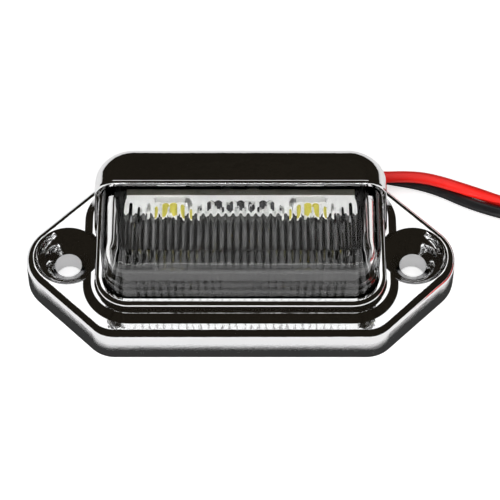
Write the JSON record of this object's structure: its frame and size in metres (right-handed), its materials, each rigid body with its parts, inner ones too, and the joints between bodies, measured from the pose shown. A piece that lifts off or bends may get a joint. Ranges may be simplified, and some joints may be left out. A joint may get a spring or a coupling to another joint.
{
  "type": "number plate lamp",
  "caption": "Chrome number plate lamp with a six-sided screw-on base, a hood, a clear fluted lens over a lamp board, and red and black leads.",
  "frame": {"origin": "centre of the mounting face of the base, midway between the two screw holes", "axes": "+X along the base from one ear to the other, +Y towards the hood, +Z away from the surface that the lamp is screwed to"},
  "size_m": [0.1263, 0.0471, 0.0244],
  "materials": {
    "chrome_plating": "bright chrome plating on moulded plastic",
    "clear_lens": "clear moulded plastic with fine flutes inside",
    "black_rubber": "matt black rubber",
    "metallised_tray": "dark metallised plastic",
    "white_board": "white solder mask",
    "led_body": "white moulded package",
    "phosphor": "yellow phosphor in clear resin",
    "black_chip": "black moulded chip",
    "tin": "bright tin",
    "black_cover": "fine matt moulded plastic",
    "screw_steel": "zinc-plated steel",
    "red_insulation": "glossy red lead insulation",
    "black_insulation": "glossy black lead insulation",
    "tie_plastic": "black nylon"
  },
  "bodies": {
    "root": {"housing": "chrome_plating", "lens": "clear_lens", "lens_gasket": "black_rubber", "reflector": "metallised_tray", "circuit_board": "white_board", "led_left": "led_body", "led_right": "led_body", "led_phosphor_left": "phosphor", "led_phosphor_right": "phosphor", "resistors": "black_chip", "reverse_diode": "black_chip", "solder_joints": "tin", "back_cover": "black_cover", "cover_screws": "screw_steel", "cable_grommet": "black_rubber", "red_lead_inner": "red_insulation", "black_lead_inner": "black_insulation", "red_lead": "red_insulation", "black_lead": "black_insulation", "lead_coil": "black_insulation", "coil_tie": "tie_plastic", "red_lead_tip": "tin", "black_lead_tip": "tin"}
  },
  "joints": []
}
